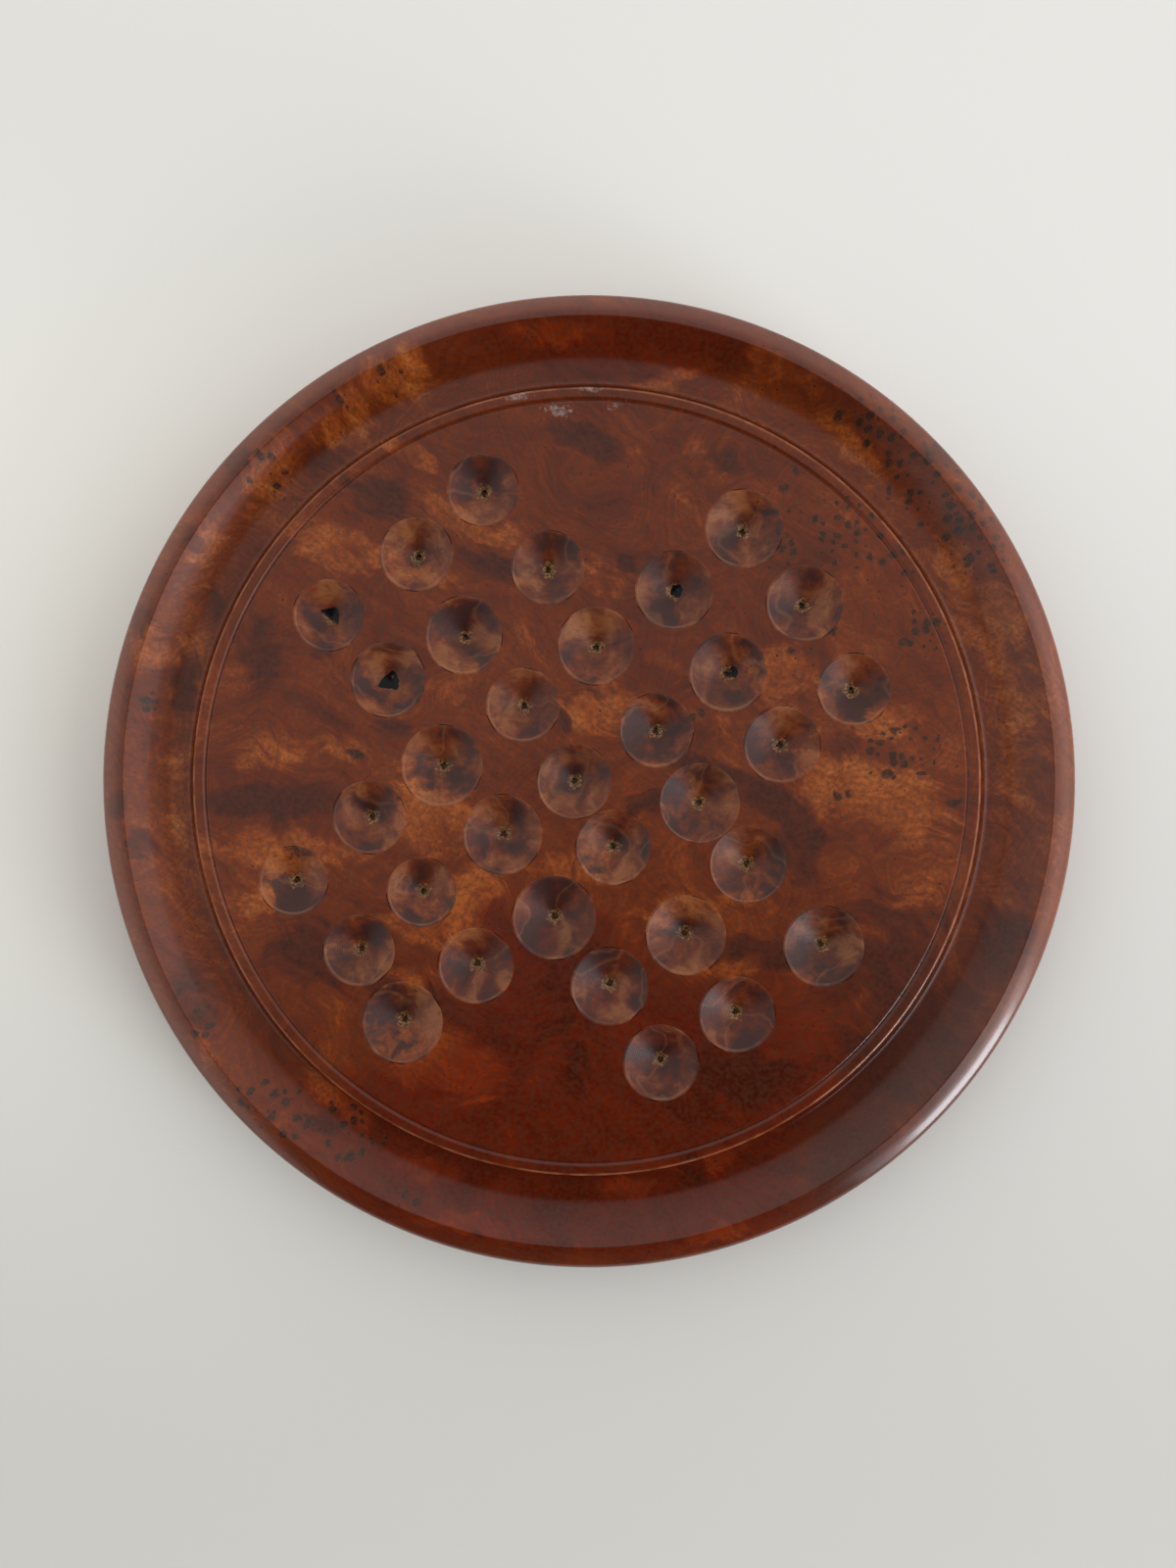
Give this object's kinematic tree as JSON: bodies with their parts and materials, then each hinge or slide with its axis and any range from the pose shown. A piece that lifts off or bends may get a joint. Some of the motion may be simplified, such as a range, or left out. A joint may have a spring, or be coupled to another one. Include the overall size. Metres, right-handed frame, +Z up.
{
  "type": "marble solitaire board",
  "caption": "Round turned burl-wood solitaire board with a cross of marble hollows in a flat field and a ring gutter inside the rim, on a baize base.",
  "frame": {"origin": "middle of the face the board rests on", "axes": "+Z up out of the playing face, along the turning axis; the rows of the cross run at 36.5 degrees to +X"},
  "size_m": [0.251, 0.251, 0.02],
  "materials": {
    "burl": "glossy clear lacquer over red-brown burl",
    "baize": "napped wool cloth",
    "filler": "black stopping, sanded and lacquered over"
  },
  "bodies": {
    "root": {"board": "burl", "base_baize": "baize", "filler_plug_1": "filler", "filler_plug_2": "filler", "filler_plug_3": "filler", "filler_plug_4": "filler"}
  },
  "joints": []
}
